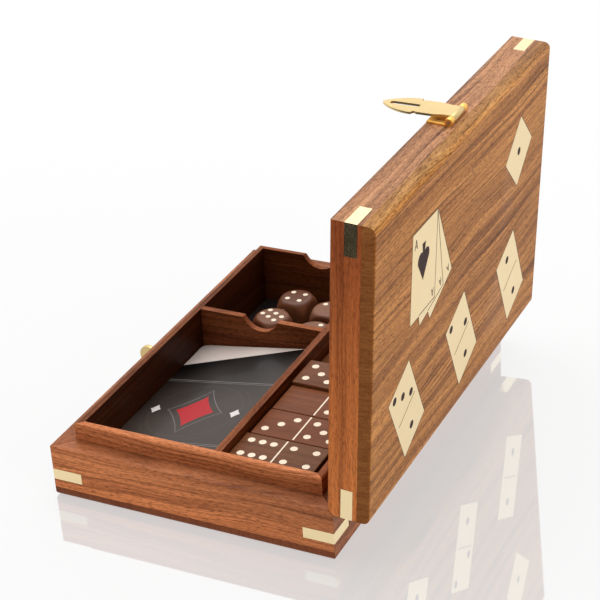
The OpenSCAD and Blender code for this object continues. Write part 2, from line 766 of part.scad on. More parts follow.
module card_tuck_box() color("#343234") deck_place() difference() {
  round_plate(deck_l, deck_w, deck_t, tuck_corner);
  translate([0, 0, tuck_t])
    round_plate(deck_l - 2 * tuck_t, deck_w - 2 * tuck_t, deck_t - 2 * tuck_t, tuck_corner - tuck_t);
}

module playing_cards() color("#f4f1ea") deck_place() {
  in = 2 * (tuck_t + card_gap);
  pitch = (deck_t - 2 * tuck_t) / card_count;
  for (i = [0:card_count - 1]) translate([0, 0, tuck_t + i * pitch])
    round_plate(deck_l - in, deck_w - in, pitch - slack, tuck_corner);
}

// Dice
module die_place(i) {
  p = dice_places[i];
  up = [[0, 0, 0], [0, -90, 0], [90, 0, 0], [-90, 0, 0], [0, 90, 0], [180, 0, 0]];
  translate([cross_x - divider_t - p[0] * die_a, long_y - p[1] * die_a, floor_z + rest_gap + die_a / 2])
    rotate([0, 0, p[2]]) rotate(up[p[3] - 1]) children();
}

// Turns that bring the top to each numbered face
face_turns = [[0, 0, 0], [0, 90, 0], [-90, 0, 0], [90, 0, 0], [0, -90, 0], [180, 0, 0]];

module die_pip_set() {
  for (n = [1:6]) rotate(face_turns[n - 1]) translate([0, 0, die_a / 2 - pip_depth])
    for (p = pips(n, die_pip_at)) translate(n == 6 ? [p[0] * six_spread, p[1] / six_spread] : p)
      cylinder(d = die_pip_d, h = pip_depth);
}

module die(i) color("#6b3a27") die_place(i) difference() {
  intersection() {
    cube(die_a, center = true);
    sphere(d = die_ball);
  }
  die_pip_set();
}

module die_pips(i) color("#f2e6b8") die_place(i) die_pip_set();

// Dominoes lie across their well, on their backs
module lying_domino(column, layer, nudge, face, inlays) {
  translate([domino_x(column), domino_y + domino_side_gap + nudge + domino_l / 2, layer_z(column, layer)])
    if (inlays) domino_marks(face, layer_t(column));
    else difference() {
      round_plate(domino_w, domino_l, layer_t(column), domino_corner);
      domino_marks(face, layer_t(column));
    }
}

// Pips and dividing line of a domino; the pips of a six stand in two rows across it
module domino_marks(face, t) translate([0, 0, t - pip_depth]) {
  translate([domino_line_w - domino_w / 2, -domino_line_w / 2, 0])
    cube([domino_w - 2 * domino_line_w, domino_line_w, pip_depth]);
  for (h = [0, 1]) for (p = pips(face[h], domino_pip_at))
    translate([p[1], p[0] + (2 * h - 1) * half_at, 0]) cylinder(d = domino_pip_d, h = pip_depth);
}

module top_domino(i) color("#7a4a35") lying_domino(i, domino_layers, top_nudge[i], top_faces[i], false);

module top_domino_inlay(i) color("#f2e6b8")
  lying_domino(i, domino_layers, top_nudge[i], top_faces[i], true);

module lower_set(inlays) {
  for (i = [0:min(len(lower_faces), domino_columns * domino_layers) - 1])
    lying_domino(i % domino_columns, floor(i / domino_columns), 0, lower_faces[i], inlays);
}

module lower_dominoes() color("#7a4a35") lower_set(false);

module lower_domino_inlays() color("#f2e6b8") lower_set(true);

base_front_wall();
base_back_wall();
base_near_end();
base_far_end();
bottom_board();
base_corner_keys();
lip_front();
lip_back();
lip_near();
lip_far();
long_divider();
cross_divider();
floor_velvet();
base_hinge_leaves();
hinge_pins();
base_hinge_nails();
catch_plate();
catch_nails();
catch_knob();
lid_front_wall();
lid_back_wall();
lid_near_end();
lid_far_end();
lid_board();
lid_corner_keys();
lid_hinge_leaves();
lid_hinge_nails();
inlay_cards();
inlay_domino(1);  // inlay_domino_near
inlay_domino(0);  // inlay_domino_middle
inlay_domino(-1);  // inlay_domino_far
inlay_die();
inlay_fill();
hasp_plate();
hasp_nails();
hasp_pin();
hasp_leaf();
card_tuck_box();
playing_cards();
die(0);  // die_1
die(1);  // die_2
die(2);  // die_3
die(3);  // die_4
die(4);  // die_5
die_pips(0);  // die_1_pips
die_pips(1);  // die_2_pips
die_pips(2);  // die_3_pips
die_pips(3);  // die_4_pips
die_pips(4);  // die_5_pips
top_domino(0);  // domino_1
top_domino(1);  // domino_2
top_domino(2);  // domino_3
top_domino(3);  // domino_4
top_domino_inlay(0);  // domino_1_inlay
top_domino_inlay(1);  // domino_2_inlay
top_domino_inlay(2);  // domino_3_inlay
top_domino_inlay(3);  // domino_4_inlay
lower_dominoes();
lower_domino_inlays();
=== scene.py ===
"""Wooden games box: the pieces, finishes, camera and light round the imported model."""

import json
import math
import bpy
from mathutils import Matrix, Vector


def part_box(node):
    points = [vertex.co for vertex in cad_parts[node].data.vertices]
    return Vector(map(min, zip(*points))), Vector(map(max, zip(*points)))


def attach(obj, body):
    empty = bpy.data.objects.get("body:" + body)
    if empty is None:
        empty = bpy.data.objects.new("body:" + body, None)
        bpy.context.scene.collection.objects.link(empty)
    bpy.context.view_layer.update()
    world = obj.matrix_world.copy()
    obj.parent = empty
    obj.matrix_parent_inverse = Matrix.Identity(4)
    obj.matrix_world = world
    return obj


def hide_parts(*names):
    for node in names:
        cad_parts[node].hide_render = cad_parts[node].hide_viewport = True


bl_info = {
    "name": "Wooden games box",
    "version": (1, 0, 0),
    "blender": (4, 5, 0),
    "location": "3D View > Sidebar > Games box",
    "description": "Dresses a hinged games box with its cards, dice and dominoes",
    "category": "Object",
}

import bpy
import numpy as np
from bpy.props import FloatProperty, FloatVectorProperty, IntProperty, PointerProperty
from bpy.types import Operator, Panel, PropertyGroup
from mathutils import Matrix, Vector

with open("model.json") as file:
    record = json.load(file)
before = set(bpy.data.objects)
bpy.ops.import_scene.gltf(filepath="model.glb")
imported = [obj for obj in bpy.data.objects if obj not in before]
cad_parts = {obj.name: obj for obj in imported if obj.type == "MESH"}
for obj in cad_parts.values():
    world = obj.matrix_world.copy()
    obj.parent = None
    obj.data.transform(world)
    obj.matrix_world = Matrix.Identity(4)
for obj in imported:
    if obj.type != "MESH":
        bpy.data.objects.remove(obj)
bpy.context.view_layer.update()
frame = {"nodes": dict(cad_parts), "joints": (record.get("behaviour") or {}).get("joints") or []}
NODES = frame["nodes"]
JOINTS = {joint["name"]: joint for joint in frame["joints"]}
MM = 0.001

# The lid is packed open, so its boards' grain leans with it
LID_LEAN = -math.radians(abs(JOINTS["lid_hinge"]["range_deg"][0]))

# Figure of the rosewood in millimetres: across the growth lines, along the grain, into the board
WANDER = (35, 150, 60)
WANDER_SWING = 16.0
BAND_LENGTH, LINE_LENGTH = 260, 110
BAND_ACROSS, BAND_DEEP, LINE_DEEP = 6, 22, 6  # in growth lines
PORE = (0.45, 2.6, 0.45)

# Upright corners of the dominoes and of the tuck box
DOMINO_CORNER = 0.7 * MM
TUCK_CORNER = 2.5 * MM

# The ball of a softened die, as a share of the one that rounds the CAD die
DIE_BALL_SHARE = 0.955

# Dark rim round the brass inlays: a painted shadow line at their edges
SHADOW_LINE_WIDTH, SHADOW_LINE_LIFT, SHADOW_LINE_DEPTH = 0.3 * MM, 0.015 * MM, 0.1 * MM


# Colours and shader nodes


def linear(code):
    """The linear colour of an sRGB hex value: each channel is taken out of its display curve."""
    channels = [int(code[i : i + 2], 16) / 255 for i in (1, 3, 5)]
    return tuple(c / 12.92 if c <= 0.04045 else ((c + 0.055) / 1.055) ** 2.4 for c in channels)


def opaque(colour):
    """A colour with full alpha, as a shader socket wants it."""
    return (*tuple(colour)[:3], 1.0)


def add_node(tree, kind, inputs=(), **settings):
    """Adds one shader node, sets its properties, and links each input that is a socket.

    Any other input is set as a value.
    """
    node = tree.nodes.new(kind)
    for name, value in settings.items():
        setattr(node, name, value)
    for key, value in dict(inputs).items():
        if isinstance(value, bpy.types.NodeSocket):
            tree.links.new(value, node.inputs[key])
        else:
            node.inputs[key].default_value = value
    return node


def start_material(name, **shader):
    """A new material with a Principled shader whose given sockets are set.

    Returns material, tree and shader.
    """
    material = bpy.data.materials.new(name)
    material.use_nodes = True
    tree = material.node_tree
    tree.nodes.clear()
    surface = add_node(tree, "ShaderNodeBsdfPrincipled", shader)
    add_node(tree, "ShaderNodeOutputMaterial", {"Surface": surface.outputs[0]})
    return material, tree, surface


def ramp_stops(tree, factor, stops):
    """A colour ramp through (position, colour) stops."""
    node = add_node(tree, "ShaderNodeValToRGB", {"Fac": factor})
    ramp = node.color_ramp
    for position, _ in stops[2:]:
        ramp.elements.new(position)
    for element, (position, colour) in zip(ramp.elements, stops):
        element.position, element.color = position, opaque(colour)
    return node.outputs[0]


def shade(colour, factor):
    """The colour made lighter or darker by a factor, kept below white."""
    return tuple(min(1.0, c * factor) for c in tuple(colour)[:3])


def tint(colour, factors, amount=1.0):
    """The colour with each channel multiplied by its own factor, or by less below amount 1."""
    channels = zip(tuple(colour)[:3], factors)
    return tuple(min(1.0, c * (1 + (f - 1) * amount)) for c, f in channels)


def mix_colours(tree, mode, amount, first, second):
    """Two colours mixed in a mode, by an amount from 0 to 1."""
    inputs = {0: amount, 6: first, 7: second}
    return add_node(tree, "ShaderNodeMix", inputs, data_type="RGBA", blend_type=mode).outputs[2]


def number(tree, operation, first, second=0.0, third=0.0, clamp=False):
    """One step of arithmetic."""
    inputs = {0: first, 1: second, 2: third}
    return add_node(
        tree, "ShaderNodeMath", inputs, operation=operation, use_clamp=clamp
    ).outputs[0]


def object_place(tree):
    """The object's own coordinates, in metres."""
    return add_node(tree, "ShaderNodeTexCoord").outputs["Object"]


def share_along(tree, vector, way):
    """How far a vector reaches along a direction."""
    inputs = {0: vector, 1: way}
    return add_node(
        tree, "ShaderNodeVectorMath", inputs, operation="DOT_PRODUCT"
    ).outputs["Value"]


def rough_up(tree, surface, height, strength, distance):
    """Lets a height raise the surface by up to a distance in metres."""
    inputs = {"Height": height, "Strength": strength, "Distance": distance}
    bump = add_node(tree, "ShaderNodeBump", inputs).outputs[0]
    tree.links.new(bump, surface.inputs["Normal"])


def plain_noise(tree, vector, scale, detail):
    """Even noise of a scale in features per metre."""
    inputs = {"Vector": vector, "Scale": scale, "Detail": detail}
    return add_node(tree, "ShaderNodeTexNoise", inputs).outputs["Fac"]


def grain_frame(tree, along, cut, shift, lid):
    """Object coordinates in millimetres, turned to the grain of a board of the lid or base.

    X runs along the grain and Y across its growth lines. The cut is the angle between the
    board and its growth lines: 0 spaces them along Y, 90 along Z.
    """
    turn = Matrix.Rotation(LID_LEAN, 4, "X") if lid else Matrix.Identity(4)
    if along == "Y":
        turn = turn @ Matrix.Rotation(math.pi / 2, 4, "Z")
    if along == "Z":
        turn = turn @ Matrix.Rotation(math.pi / 2, 4, "Y")
    turn = turn @ Matrix.Rotation(math.radians(cut), 4, "X")
    inputs = {
        "Vector": object_place(tree),
        "Location": [v * MM for v in shift],
        "Rotation": turn.to_euler("XYZ"),
        "Scale": (MM, MM, MM),
    }
    return add_node(tree, "ShaderNodeMapping", inputs, vector_type="TEXTURE").outputs[0]


def stretched_noise(tree, vector, span, detail, rough=0.55):
    """Noise whose features span across, along and into the grain, in millimetres."""
    across, along, deep = span
    inputs = {"Vector": vector, "Scale": (1 / along, 1 / across, 1 / deep)}
    squeezed = add_node(tree, "ShaderNodeMapping", inputs).outputs[0]
    inputs = {"Vector": squeezed, "Scale": 1.0, "Detail": detail, "Roughness": rough}
    return add_node(tree, "ShaderNodeTexNoise", inputs).outputs["Fac"]


# Finishes


def sheesham(
    name,
    tone,
    along="X",
    cut=0,
    shift=(0, 0, 0),
    lid=False,
    figure=1.0,
    gloss=0.42,
    line=1.2,
    painted_light_sides=None,
    polish=0.14,
    floor_light_fade=None,
):
    """Indian rosewood, planed, sanded and waxed to a satin sheen.

    Broad reddish and yellowish bands, fine straight growth lines about line millimetres
    apart, and short open pores, all along the grain. The pores are drawn 0.45 mm wide, twice
    their real width, so that they show. End grain is darker. Figure is the strength of the
    bands. The side paint holds the arguments of paint_sides, for painted shade and painted
    sheen on faces that look one way, and the fade those of paint_along, for painted floor light
    with painted shade above it.
    """
    material, tree, surface = start_material(
        name, **{"Roughness": gloss, "Specular IOR Level": polish}
    )
    grain = grain_frame(tree, along, cut, shift, lid)
    wander = stretched_noise(tree, grain, WANDER, 2.0)
    swing = number(tree, "MULTIPLY", number(tree, "SUBTRACT", wander, 0.5), WANDER_SWING)
    sideways = add_node(tree, "ShaderNodeCombineXYZ", {"Y": swing}).outputs[0]
    bent = add_node(
        tree, "ShaderNodeVectorMath", {0: grain, 1: sideways}, operation="ADD"
    ).outputs[0]
    band_span = (line * BAND_ACROSS, BAND_LENGTH, line * BAND_DEEP)
    bands = stretched_noise(tree, bent, band_span, 3.0, 0.6)
    lines = stretched_noise(tree, bent, (line, LINE_LENGTH, line * LINE_DEEP), 4.0, 0.66)
    pores = stretched_noise(tree, bent, PORE, 2.0, 0.6)
    body = ramp_stops(
        tree,
        bands,
        [
            (0.28, tint(tone, (0.50, 0.42, 0.36), figure)),
            (0.42, tint(tone, (0.82, 0.78, 0.74), figure)),
            (0.54, tint(tone, (1.05, 1.05, 1.02), figure)),
            (0.70, tint(tone, (1.26, 1.36, 1.40), figure)),
        ],
    )
    dark, middle, light = (0.40, 0.34, 0.30), (0.84, 0.81, 0.78), (1.22, 1.24, 1.26)
    streak = ramp_stops(tree, lines, [(0.36, dark), (0.46, middle), (0.62, light)])
    dark, middle, light = (0.40, 0.32, 0.27), (0.98, 0.97, 0.96), (1.2, 1.22, 1.24)
    speck = ramp_stops(tree, pores, [(0.34, dark), (0.47, middle), (0.66, light)])
    coloured = mix_colours(tree, "MULTIPLY", min(1.0, 0.95 * figure), body, streak)
    coloured = mix_colours(tree, "MULTIPLY", min(1.0, 0.9 * figure), coloured, speck)
    if not lid or along == "X":
        axis = {"X": (1, 0, 0), "Y": (0, 1, 0), "Z": (0, 0, 1)}[along]
        end_grain = opaque(tint(tone, (0.5, 0.36, 0.32)))
        coloured = paint_sides(tree, coloured, axis, 0.7, end_grain, "MIX", True)
    if painted_light_sides:
        coloured = paint_sides(tree, coloured, *painted_light_sides)
    if floor_light_fade:
        coloured = paint_along(tree, coloured, *floor_light_fade)
    tree.links.new(coloured, surface.inputs["Base Color"])
    relief = number(tree, "MULTIPLY", pores, 0.7)
    relief = number(tree, "ADD", number(tree, "MULTIPLY", lines, 0.3), relief)
    rough_up(tree, surface, relief, 0.2, 0.2 * MM)
    sheen = number(tree, "MULTIPLY_ADD", lines, -0.15, gloss + 0.08)
    tree.links.new(sheen, surface.inputs["Roughness"])
    return material


def paint_sides(tree, colour, side, strength, paint, mode="MULTIPLY", both=False):
    """The colour, painted with another on the faces that look along a direction, or both ways.

    End grain drinks more wax. Painted shade darkens the faces inside the wells and the upward
    faces of the base walls, and a greyish painted sheen lies on the lid board's upward faces.
    The normal is the object's own, so the paint stays put as the lid turns.
    """
    normal = add_node(tree, "ShaderNodeTexCoord").outputs["Normal"]
    facing = share_along(tree, normal, side)
    if both:
        facing = number(tree, "ABSOLUTE", facing)
    inputs = {"Value": facing, "From Min": 0.35, "From Max": 0.85, "To Max": strength}
    amount = add_node(tree, "ShaderNodeMapRange", inputs).outputs[0]
    return mix_colours(tree, mode, amount, colour, paint)


def paint_along(tree, colour, way, start, end, first, last):
    """The colour, multiplied by one that changes from first to last along a direction.

    It changes between two places in millimetres of the object's own coordinates. On the near
    ends it is painted light from the floor low down and painted shade higher up.
    """
    along = share_along(tree, object_place(tree), way)
    inputs = {"Value": along, "From Min": start * MM, "From Max": end * MM}
    share = add_node(tree, "ShaderNodeMapRange", inputs).outputs[0]
    change = ramp_stops(tree, share, [(0.0, first), (1.0, last)])
    return mix_colours(tree, "MULTIPLY", 1.0, colour, change)


def ground_brass(name, tone, roughness, scratch=0.35):
    """Sheet brass, ground flush with the wood or rolled and buffed.

    Metal with a soft, slightly uneven sheen and fine straight scratches about 0.3 mm apart.
    """
    material, tree, surface = start_material(
        name, **{"Base Color": opaque(tone), "Metallic": 1.0, "Roughness": roughness}
    )
    place = object_place(tree)
    inputs = {"Vector": place, "Scale": (700, 3200, 3200)}
    streaks = add_node(tree, "ShaderNodeMapping", inputs).outputs[0]
    lines = plain_noise(tree, streaks, 1.0, 2.0)
    patches = plain_noise(tree, place, 120.0, 3.0)
    worn = number(tree, "MULTIPLY_ADD", patches, 0.16, roughness - 0.08)
    tree.links.new(worn, surface.inputs["Roughness"])
    rough_up(tree, surface, lines, scratch * 0.12, 0.05 * MM)
    return material


def speckled(name, tone, roughness, size_mm, variation, **shader):
    """A plain matt or waxy stuff, such as filler or card.

    Its tone and surface vary a little over a size in millimetres.
    """
    material, tree, surface = start_material(name, Roughness=roughness, **shader)
    cloud = plain_noise(tree, object_place(tree), 1 / (size_mm * MM), 4.0)
    dark, light = shade(tone, 1 - variation), shade(tone, 1 + variation)
    varied = ramp_stops(tree, cloud, [(0.3, dark), (0.7, light)])
    tree.links.new(varied, surface.inputs["Base Color"])
    rough_up(tree, surface, cloud, 0.3, 0.02 * MM)
    return material


def velvet_cloth(tone):
    """Cotton velvet, glued down.

    Near black, with a short pile that lights up where it is seen along the surface, and
    brushed patches about 8 mm wide.
    """
    shader = {
        "Roughness": 0.95,
        "Sheen Weight": 0.35,
        "Sheen Roughness": 0.4,
        "Specular IOR Level": 0.1,
    }
    material, tree, surface = start_material("cotton velvet", **shader)
    place = object_place(tree)
    brushed = plain_noise(tree, place, 125.0, 2.0)
    pile = plain_noise(tree, place, 2500.0, 2.0)
    nap = ramp_stops(tree, brushed, [(0.35, shade(tone, 0.7)), (0.65, shade(tone, 1.5))])
    tree.links.new(nap, surface.inputs["Base Color"])
    rough_up(tree, surface, pile, 0.5, 0.3 * MM)
    return material


# Meshes


def make_piece(name, points, faces, material, smooth=True):
    """A new object from an array of points and a list or array of faces."""
    mesh = bpy.data.meshes.new(name)
    points = np.asarray(points, float).reshape(-1, 3)
    mesh.from_pydata(points.tolist(), [], [list(f) for f in faces])
    mesh.validate()
    mesh.update()
    if smooth:
        mesh.polygons.foreach_set("use_smooth", np.ones(len(mesh.polygons), bool))
    mesh.materials.append(material)
    piece = bpy.data.objects.new(name, mesh)
    bpy.context.scene.collection.objects.link(piece)
    return piece


def read_rows(items, name, width=3):
    """One property of all of a mesh's points or faces, a row for each."""
    values = np.zeros(len(items) * width)
    items.foreach_get(name, values)
    return values.reshape(-1, width)


def triangles(mesh):
    """The three point numbers of each triangle of a CAD node's mesh."""
    corner = np.zeros(len(mesh.loops), int)
    mesh.loops.foreach_get("vertex_index", corner)
    return corner.reshape(-1, 3)


def grid_faces(rows, columns):
    """Quads of a grid that closes round its columns: point (i, j) is i * columns + j."""
    i, j = np.meshgrid(np.arange(rows - 1), np.arange(columns), indexing="ij")
    after = (j + 1) % columns
    above = i + 1
    quads = [i * columns + j, i * columns + after, above * columns + after, above * columns + j]
    return np.stack(quads, -1).reshape(-1, 4).tolist()


def rounded_block(low, high, corner, edge, steps=5):
    """A block with rounded upright corners and rounded upper and lower edges.

    Its plan is a rectangle whose corners are quarter circles of radius corner. Each row of
    the grid is that plan, drawn in by edge * (1 - sin v) and raised by edge * (1 - cos v)
    for the lower edge, and the same mirrored for the upper one, with v from 0 to a quarter
    turn. The two end rows are closed by flat caps. Returns points and faces.
    """
    low, high = np.asarray(low, float), np.asarray(high, float)
    turn = np.linspace(0, math.pi / 2, steps)
    angle = np.concatenate([turn + quarter * math.pi / 2 for quarter in range(4)])
    side = np.repeat([[1, 1], [-1, 1], [-1, -1], [1, -1]], steps, axis=0)
    half = (high[:2] - low[:2]) / 2
    middle = (high[:2] + low[:2]) / 2
    rise, draw = edge * (1 - np.cos(turn)), edge * (1 - np.sin(turn))
    inset = np.concatenate([draw, rise])
    height = np.concatenate([low[2] + rise, high[2] - draw])
    reach = corner - inset[:, None]
    ring = np.stack([np.cos(angle), np.sin(angle)], -1)
    plan = middle + side * (half - corner) + ring[None] * reach[..., None]
    height = np.broadcast_to(height[:, None, None], plan.shape[:2] + (1,))
    points = np.concatenate([plan, height], -1)
    rows, columns = plan.shape[:2]
    faces = grid_faces(rows, columns)
    faces.append(list(range(columns))[::-1])
    faces.append([(rows - 1) * columns + j for j in range(columns)])
    return points.reshape(-1, 3), faces


def die_radius(direction, half, ball, power=24):
    """How far a ball-cornered die reaches along unit directions d.

    (a^power + b^power)^(-1/power), where a is |d|'s largest coordinate over half and b is
    1 over ball: a soft least of a cube's distance and a ball's.
    """
    reach = np.abs(direction).max(1) / half
    return (reach**power + (1 / ball) ** power) ** (-1 / power)


def ball_die(half, ball, steps):
    """A die as six grids of directions, each pushed out by die_radius.

    Points that two grids share are merged. Returns points and faces.
    """
    line = np.tan(np.linspace(-math.pi / 4, math.pi / 4, steps + 1))
    u, v = np.meshgrid(line, line, indexing="ij")
    one = np.ones_like(u)
    sides = [(one, u, v), (-one, v, u), (v, one, u), (u, -one, v), (u, v, one), (v, u, -one)]
    direction = np.stack([np.stack(side, -1) for side in sides]).reshape(-1, 3)
    direction /= np.linalg.norm(direction, axis=1, keepdims=True)
    points = direction * die_radius(direction, half, ball)[:, None]
    _, first, back = np.unique(
        np.round(points, 9), axis=0, return_index=True, return_inverse=True
    )
    i, j = np.meshgrid(np.arange(steps), np.arange(steps), indexing="ij")
    wide = steps + 1
    start, over = i * wide + j, (i + 1) * wide + j
    quad = np.stack([start, over, over + 1, start + 1], -1).reshape(-1, 4)
    quads = np.concatenate([quad + side * wide * wide for side in range(6)])
    return points[first], back.reshape(-1)[quads].tolist()


def outline_rim(node, width, lift):
    """A flat rim of a width round the outer face of an inlay, lifted off it.

    Each border point moves out by width * (m + n) / (1 + m.n), where m and n are its two
    border edges' outward normals. Returns points and faces.
    """
    mesh = node.data
    normals = read_rows(mesh.polygons, "normal")
    areas = read_rows(mesh.polygons, "area", 1)[:, 0]
    out = normals[np.argmax(areas * (normals[:, 1] > 0.9))]
    places = np.round(read_rows(mesh.vertices, "co"), 7)
    points, weld = np.unique(places, axis=0, return_inverse=True)
    corner = weld.reshape(-1)[triangles(mesh)][normals @ out > 0.99]
    edge = np.concatenate([corner[:, [0, 1]], corner[:, [1, 2]], corner[:, [2, 0]]])
    total = len(points)
    forward, backward = edge[:, 0] * total + edge[:, 1], edge[:, 1] * total + edge[:, 0]
    edge = edge[~np.isin(forward, backward)]
    side = np.cross(points[edge[:, 1]] - points[edge[:, 0]], out)
    side /= np.linalg.norm(side, axis=1, keepdims=True)
    leave, arrive = np.zeros((total, 3)), np.zeros((total, 3))
    leave[edge[:, 0]], arrive[edge[:, 1]] = side, side
    spread = 1 + (leave * arrive).sum(1, keepdims=True)
    moved = points + (leave + arrive) * width / np.maximum(spread, 0.3) + out * lift
    faces = [edge[:, 0], edge[:, 0] + total, edge[:, 1] + total, edge[:, 1]]
    used, index = np.unique(np.stack(faces, -1), return_inverse=True)
    return np.concatenate([points + out * lift, moved])[used], index.reshape(-1, 4).tolist()


def loose_boxes(node):
    """Lowest and highest corner of each separate solid in a CAD node.

    Points at one place are welded, and every triangle gives its points their lowest label
    until no label changes.
    """
    places = np.round(read_rows(node.data.vertices, "co"), 6)
    points, weld = np.unique(places, axis=0, return_inverse=True)
    corner = weld.reshape(-1)[triangles(node.data)]
    label = np.arange(len(points))
    while True:
        lowest = label[corner].min(1)
        fresh = label.copy()
        for column in corner.T:
            np.minimum.at(fresh, column, lowest)
        if (fresh == label).all():
            break
        label = fresh
    solids = [points[label == one] for one in np.unique(label)]
    return [(solid.min(0), solid.max(0)) for solid in solids]


def deck_tilt(node):
    """The angle about X at which the deck lies.

    Its largest upward face looks along (0, -sin, cos) of that angle.
    """
    normals = read_rows(node.data.polygons, "normal")
    areas = read_rows(node.data.polygons, "area", 1)[:, 0]
    largest = normals[np.argmax(areas * (normals[:, 2] > 0.9))]
    return math.atan2(-largest[1], largest[2])


def die_turn(pips, centre, half):
    """Rotation about Z that lies along a die's side faces, found from its pips' outer discs."""
    polygons = pips.data.polygons
    normals, middles = read_rows(polygons, "normal"), read_rows(polygons, "center")
    areas = read_rows(polygons, "area", 1)[:, 0]
    outward = ((middles - centre) * normals).sum(1)
    discs = (outward > half - 0.6 * MM) & (np.abs(normals[:, 2]) < 0.1)
    if not discs.any():
        return np.eye(3)
    normal = normals[np.argmax(np.where(discs, areas, 0))]
    angle = math.atan2(normal[1], normal[0])
    c, s = math.cos(angle), math.sin(angle)
    return np.array([[c, -s, 0], [s, c, 0], [0, 0, 1]])


def finish_node(name, material, arris=0.0, segments=2):
    """Gives a CAD node its material and, where arris is not 0, a fine bevel on sharp edges."""
    node = NODES[name]
    node.data.materials.clear()
    node.data.materials.append(material)
    if arris > 0:
        weld = node.modifiers.new("weld", "WELD")
        weld.merge_threshold = 0.01 * MM
        bevel = node.modifiers.new("arris", "BEVEL")
        bevel.width, bevel.segments = arris, segments
        bevel.limit_method, bevel.angle_limit = "ANGLE", math.radians(40)
    return node


# Sizes and colours that a user would change


class GamesBoxSizes(PropertyGroup):
    """Sizes of the small details."""

    arris: FloatProperty(
        name="Arris",
        description="Width of the fine bevel on the boards",
        default=0.0003,
        min=0,
        unit="LENGTH",
    )
    domino_edge: FloatProperty(
        name="Domino edge",
        description="Round on a domino's edges",
        default=0.0005,
        min=0.0001,
        unit="LENGTH",
    )
    inlay_stand: FloatProperty(
        name="Inlay stand",
        description="How far filled pips stand out",
        default=0.00002,
        min=0,
        unit="LENGTH",
    )
    tuck_fold: FloatProperty(
        name="Tuck box fold",
        description="Round on the tuck box's folds",
        default=0.0006,
        min=0.0001,
        unit="LENGTH",
    )
    die_steps: IntProperty(
        name="Die steps",
        description="Grid steps across a die's face",
        default=22,
        min=8,
        max=60,
    )


class GamesBoxColours(PropertyGroup):
    """Colours of the finishes."""

    lid_wood: FloatVectorProperty(
        name="Lid wood",
        description="Middle tone of the lid's boards",
        subtype="COLOR",
        default=linear("#ac733d"),
    )
    base_wood: FloatVectorProperty(
        name="Base wood",
        description="Middle tone of the base's walls",
        subtype="COLOR",
        default=linear("#c97745"),
    )
    end_wood: FloatVectorProperty(
        name="Lid end wood",
        description="Middle tone of the lid's ends",
        subtype="COLOR",
        default=linear("#b3642f"),
    )
    lining_wood: FloatVectorProperty(
        name="Lining wood",
        description="Middle tone of the lining",
        subtype="COLOR",
        default=linear("#9a5630"),
    )
    dark_wood: FloatVectorProperty(
        name="Dark wood",
        description="Middle tone of dice and dominoes",
        subtype="COLOR",
        default=linear("#603a22"),
    )
    pale_brass: FloatVectorProperty(
        name="Pale brass",
        description="Keys and inlays",
        subtype="COLOR",
        default=linear("#e2cca0"),
    )
    gold_brass: FloatVectorProperty(
        name="Golden brass",
        description="Hinges, hasp and catch",
        subtype="COLOR",
        default=linear("#e2b45e"),
    )
    cream: FloatVectorProperty(
        name="Cream filler",
        description="Pips of dice and dominoes",
        subtype="COLOR",
        default=linear("#f2e2c8"),
    )
    filler: FloatVectorProperty(
        name="Dark filler",
        description="Pips and lines of the brass",
        subtype="COLOR",
        default=linear("#3b2a28"),
    )
    velvet: FloatVectorProperty(
        name="Velvet",
        description="Floor of the wells",
        subtype="COLOR",
        default=linear("#120b09"),
    )
    tuck_field: FloatVectorProperty(
        name="Tuck box field",
        description="Main colour of the tuck box",
        subtype="COLOR",
        default=linear("#1c1714"),
    )
    tuck_end: FloatVectorProperty(
        name="Tuck box end",
        description="Pale end of the tuck box",
        subtype="COLOR",
        default=linear("#d2c5bd"),
    )
    tuck_suit: FloatVectorProperty(
        name="Tuck box suit",
        description="Red of the printed suit",
        subtype="COLOR",
        default=linear("#b0141e"),
    )


def sizes():
    """The sizes as the user has set them."""
    return bpy.context.scene.games_box_sizes


def colours():
    """The colours as the user has set them."""
    return bpy.context.scene.games_box_colours


# Boards


class GAMESBOX_OT_base_boards(Operator):
    """Wood of the base's walls and bottom board, each board with its own grain"""

    bl_idname = "gamesbox.base_boards"
    bl_label = "Base boards"

    def execute(self, context):
        tone = colours().base_wood
        # Painted floor light on the near end's lower part, fading into painted shade at its
        # upper edge
        near_floor_light_fade = ((0, 0.14, 1), 0, 30, (1.26, 1.28, 1.3), (0.66, 0.68, 0.76))
        # Grain's way, cut of the growth lines, place in the log, lightness, and painted floor
        # light with painted shade above it
        boards = {
            "base_front_wall": ("X", 78, (12, 5, 3), 0.95, None),
            # Painted shade: the back wall is made much darker, as it lies under the open lid
            "base_back_wall": ("X", 98, (-40, 30, 9), 0.45, None),
            "base_near_end": ("Y", 80, (7, 61, -4), 1.0, near_floor_light_fade),
            "base_far_end": ("Y", 100, (33, -21, 8), 0.94, None),
            "bottom_board": ("X", 12, (90, -13, 40), 0.6, None),
        }
        # Painted shade: the upward faces of the base walls are darkened and made less orange
        ledge_shade = ((0, 0, 1), 0.9, (0.66, 0.72, 0.86, 1.0))
        for name, (along, cut, shift, light, floor_light_fade) in boards.items():
            wood = sheesham(
                "sheesham " + name.replace("_", " "),
                shade(tone, light),
                along,
                cut,
                shift,
                figure=0.8,
                painted_light_sides=ledge_shade,
                floor_light_fade=floor_light_fade,
            )
            finish_node(name, wood, sizes().arris)
        return {"FINISHED"}


